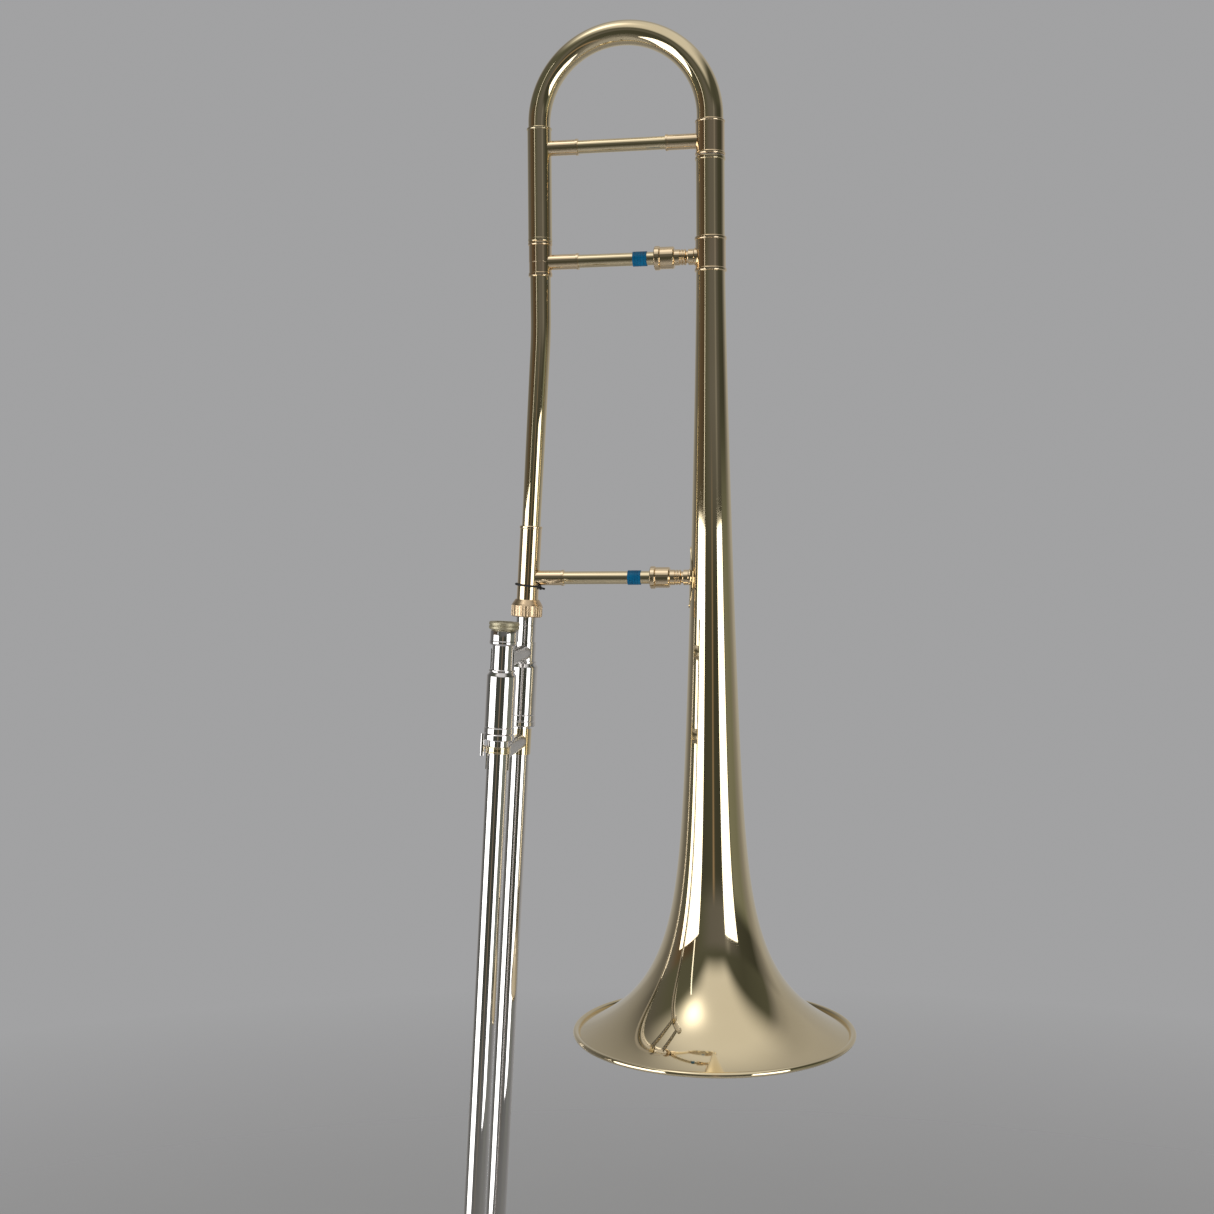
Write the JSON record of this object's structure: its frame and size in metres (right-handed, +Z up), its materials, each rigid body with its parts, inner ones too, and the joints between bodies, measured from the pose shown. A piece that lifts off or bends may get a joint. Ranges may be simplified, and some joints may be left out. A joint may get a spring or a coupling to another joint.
{
  "type": "trombone",
  "caption": "Straight tenor slide trombone, bell mouth down, with a telescoping hand slide, a tuning slide in the bell bow, braces, slide lock and water key.",
  "frame": {"origin": "centre of the bell mouth, on the plane of the rim", "axes": "+Z up the bell axis towards the tuning bow, bell mouth facing -Z; the bell section lies in the XZ plane with the hand slide at -X; the mouthpiece side of the hand slide is towards -Y"},
  "size_m": [0.2894, 0.2032, 1.1895],
  "materials": {
    "lacquered_brass": "clear lacquered yellow brass, mirror polished",
    "rose_brass": "polished and lacquered ferrules and brace fittings, slightly pinker than the tubes",
    "satin_brass": "brushed, lightly satin",
    "raw_brass": "unlacquered brass, dulled",
    "bright_nickel": "bright plated, mirror polished",
    "nickel_silver": "drawn nickel silver, satin",
    "blue_tape": "ribbed blue sleeve, slight sheen",
    "black_rubber": "soft, matt",
    "cork": "natural cork, fine grain",
    "felt": "pressed felt"
  },
  "bodies": {
    "bell_section": {"bell_flare": "lacquered_brass", "bell_stem": "lacquered_brass", "bell_rim_wire": "lacquered_brass", "bell_ferrule": "rose_brass", "bell_leg": "lacquered_brass", "neckpipe": "lacquered_brass", "neckpipe_ferrule": "rose_brass", "neck_leg": "rose_brass", "slide_receiver": "rose_brass", "receiver_band": "black_rubber", "upper_brace_socket": "rose_brass", "upper_brace_tube": "lacquered_brass", "upper_brace_tape": "blue_tape", "upper_brace_stem": "rose_brass", "lower_brace_socket": "rose_brass", "lower_brace_tube": "lacquered_brass", "lower_brace_tape": "blue_tape", "lower_brace_stem": "rose_brass", "lower_brace_plate": "lacquered_brass"},
    "upper_union_nut": {"upper_brace_nut": "rose_brass"},
    "lower_union_nut": {"lower_brace_nut": "rose_brass"},
    "receiver_lock_nut": {"receiver_nut": "satin_brass"},
    "tuning_slide": {"tuning_bow": "lacquered_brass", "tuning_sleeve": "lacquered_brass", "tuning_ferrule": "rose_brass", "tuning_leg": "nickel_silver", "tuning_brace_socket_neck": "rose_brass", "tuning_brace_socket_bell": "rose_brass", "tuning_brace_tube": "lacquered_brass"},
    "inner_slide": {"slide_tenon": "bright_nickel", "mouthpiece_receiver": "bright_nickel", "inner_tube_mouthpiece_side": "bright_nickel", "inner_tube_bell_side": "bright_nickel", "inner_brace_bar": "nickel_silver", "inner_brace_saddles": "bright_nickel", "cork_barrel_mouthpiece_side": "bright_nickel", "cork_barrel_bell_side": "bright_nickel", "barrel_felts": "felt", "barrel_springs": "nickel_silver"},
    "slide_lock": {"lock_ring": "bright_nickel"},
    "leadpipe": {"leadpipe": "raw_brass", "leadpipe_collar": "raw_brass"},
    "outer_slide": {"outer_tube_mouthpiece_side": "bright_nickel", "outer_tube_bell_side": "bright_nickel", "hand_brace_bar": "nickel_silver", "hand_brace_saddles": "lacquered_brass", "lock_catch": "lacquered_brass", "bow_sleeves": "bright_nickel", "slide_bow": "bright_nickel", "bumper_socket": "bright_nickel", "bumper": "black_rubber", "water_key_nipple": "bright_nickel", "water_key_bracket": "bright_nickel", "water_key_pin": "nickel_silver", "water_key_spring": "nickel_silver"},
    "water_key": {"water_key": "bright_nickel", "water_key_cork": "cork"}
  },
  "joints": [
    {"name": "tuning_slide_pull", "type": "slide", "parent": "bell_section", "child": "tuning_slide", "axis": [0, 0, 1], "range_m": [0, 0.045]},
    {"name": "upper_union_nut_spin", "type": "hinge", "parent": "bell_section", "child": "upper_union_nut", "pos_m": [-0.033, 0, 0.5562], "axis": [1, 0, 0], "continuous": true},
    {"name": "lower_union_nut_spin", "type": "hinge", "parent": "bell_section", "child": "lower_union_nut", "pos_m": [-0.0375, 0, 0.3285], "axis": [1, 0, 0], "continuous": true},
    {"name": "receiver_nut_spin", "type": "hinge", "parent": "bell_section", "child": "receiver_lock_nut", "pos_m": [-0.13558, 0, 0.30657], "axis": [0.061, 0, 0.9981], "continuous": true},
    {"name": "slide_swivel", "type": "hinge", "parent": "bell_section", "child": "inner_slide", "pos_m": [-0.13449, 0, 0.32434], "axis": [0.061, 0, 0.9981], "range_deg": [-215, 35]},
    {"name": "hand_slide", "type": "slide", "parent": "inner_slide", "child": "outer_slide", "axis": [-0.061, 0, -0.9981], "range_m": [0, 0.585]},
    {"name": "slide_lock_turn", "type": "hinge", "parent": "inner_slide", "child": "slide_lock", "pos_m": [-0.13657, -0.0849, 0.22227], "axis": [-0.061, 0, -0.9981], "range_deg": [0, 24]},
    {"name": "leadpipe_pull", "type": "slide", "parent": "inner_slide", "child": "leadpipe", "axis": [0.061, 0, 0.9981], "range_m": [0, 0.22]},
    {"name": "water_key_press", "type": "hinge", "parent": "outer_slide", "child": "water_key", "pos_m": [-0.16495, -0.0006, -0.39715], "axis": [0.0488, -0.9988, -0.003], "range_deg": [0, 12], "stiffness_Nm_per_rad": 0.05, "springref_deg": -20.05}
  ]
}
